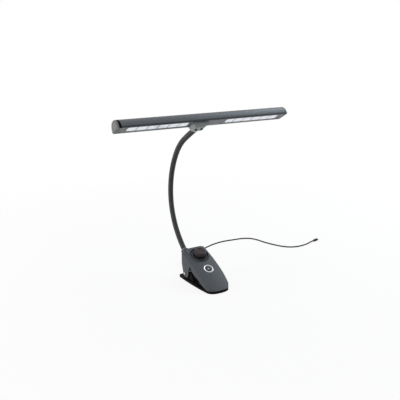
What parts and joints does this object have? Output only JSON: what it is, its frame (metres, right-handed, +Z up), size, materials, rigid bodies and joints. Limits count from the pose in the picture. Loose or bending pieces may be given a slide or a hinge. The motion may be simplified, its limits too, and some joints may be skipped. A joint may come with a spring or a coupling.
{
  "type": "clip-on piano lamp",
  "caption": "Clip-on desk lamp for a piano or music stand: long light bar with two windows, flexible gooseneck, spring clip with dimmer knob, power cord with a round connector.",
  "frame": {"origin": "on the clip's flat underside, on its middle line, 65.5 mm behind the jaw tip, where the lamp stands on the table", "axes": "+X along the light bar to the right, -Y towards the jaw's mouth, +Z up from the table"},
  "size_m": [0.6074, 0.2672, 0.3696],
  "materials": {
    "bar_paint": "satin",
    "cap_paint": "satin",
    "plate_plastic": "satin",
    "screw_black": "satin",
    "board": "satin",
    "led": "satin",
    "reflector_white": "gloss",
    "window_clear": "gloss",
    "bracket_metal": "satin",
    "steel": "satin",
    "clip_plastic": "satin",
    "base_plastic": "matte",
    "bezel_plastic": "satin",
    "knob_plastic": "satin",
    "bright_ring": "polished",
    "badge_dark": "gloss",
    "cord_rubber": "satin",
    "pad_rubber": "matte",
    "plug_plastic": "satin",
    "plug_metal": "polished",
    "neck_steel": "satin",
    "lead_rubber": "satin"
  },
  "bodies": {
    "upper_jaw": {"upper_jaw_shell": "clip_plastic", "upper_jaw_base": "base_plastic", "base_screws": "steel", "knob_bezel": "bezel_plastic", "potentiometer": "steel", "pot_nut": "steel", "dimmer_board": "board", "badge_ring": "bright_ring", "badge_face": "badge_dark", "neck_base_ferrule": "steel", "strain_relief": "cord_rubber", "hinge_pin": "bright_ring", "pin_washers": "steel", "spring_sleeve": "base_plastic", "torsion_spring": "steel", "upper_pad": "pad_rubber", "neck_segment_1": "neck_steel", "neck_lead_1": "lead_rubber", "cord_drop": "cord_rubber", "cord_coil": "cord_rubber", "cord_run": "cord_rubber", "plug_body": "plug_plastic", "plug_barrel": "plug_metal"},
    "lower_jaw": {"lower_jaw": "clip_plastic", "lower_pad": "pad_rubber"},
    "dimmer_knob": {"knob": "knob_plastic", "pot_shaft": "steel"},
    "neck_2": {"neck_segment_2": "neck_steel", "neck_lead_2": "lead_rubber"},
    "neck_3": {"neck_segment_3": "neck_steel", "neck_lead_3": "lead_rubber"},
    "neck_4": {"neck_segment_4": "neck_steel", "neck_lead_4": "lead_rubber"},
    "neck_5": {"neck_segment_5": "neck_steel", "neck_lead_5": "lead_rubber"},
    "neck_6": {"neck_segment_6": "neck_steel", "neck_lead_6": "lead_rubber"},
    "light_bar": {"neck_segment_7": "neck_steel", "neck_lead_7": "lead_rubber", "neck_top_ferrule": "steel", "neck_bracket": "bracket_metal", "bracket_screws": "steel", "bar_housing": "bar_paint", "end_cap_left": "cap_paint", "end_cap_right": "cap_paint", "underside_plate": "plate_plastic", "plate_screws": "screw_black", "led_board_left": "board", "led_board_right": "board", "led_chips_left": "led", "led_chips_right": "led", "reflector_left": "reflector_white", "reflector_right": "reflector_white", "window_left": "window_clear", "window_right": "window_clear", "driver_board": "board"}
  },
  "joints": [
    {"name": "clip_hinge", "type": "hinge", "parent": "upper_jaw", "child": "lower_jaw", "pos_m": [0, 0.034, 0.016], "axis": [1, 0, 0], "range_deg": [0, 28], "stiffness_Nm_per_rad": 1.2, "springref_deg": -20.05, "deforming": ["torsion_spring"]},
    {"name": "knob_turn", "type": "hinge", "parent": "upper_jaw", "child": "dimmer_knob", "pos_m": [0.0015, 0.0247, 0.05621], "axis": [0, -0.3644, 0.9312], "range_deg": [-270, 0]},
    {"name": "neck_bend_1", "type": "hinge", "parent": "upper_jaw", "child": "neck_2", "pos_m": [-0.02, 0.08404, 0.09722], "axis": [1, 0, 0], "range_deg": [-20, 20]},
    {"name": "neck_bend_2", "type": "hinge", "parent": "neck_2", "child": "neck_3", "pos_m": [-0.02, 0.10543, 0.14011], "axis": [0, 0.9563, -0.2924], "range_deg": [-20, 20]},
    {"name": "neck_bend_3", "type": "hinge", "parent": "neck_3", "child": "neck_4", "pos_m": [-0.02, 0.11168, 0.18762], "axis": [1, 0, 0], "range_deg": [-20, 20]},
    {"name": "neck_bend_4", "type": "hinge", "parent": "neck_4", "child": "neck_5", "pos_m": [-0.02, 0.10315, 0.23483], "axis": [0, 0.9483, 0.3173], "range_deg": [-20, 20]},
    {"name": "neck_bend_5", "type": "hinge", "parent": "neck_5", "child": "neck_6", "pos_m": [-0.02, 0.08192, 0.27788], "axis": [1, 0, 0], "range_deg": [-20, 20]},
    {"name": "neck_bend_6", "type": "hinge", "parent": "neck_6", "child": "light_bar", "pos_m": [-0.02, 0.04781, 0.3114], "axis": [0, 0.5446, 0.8387], "range_deg": [-20, 20]}
  ]
}
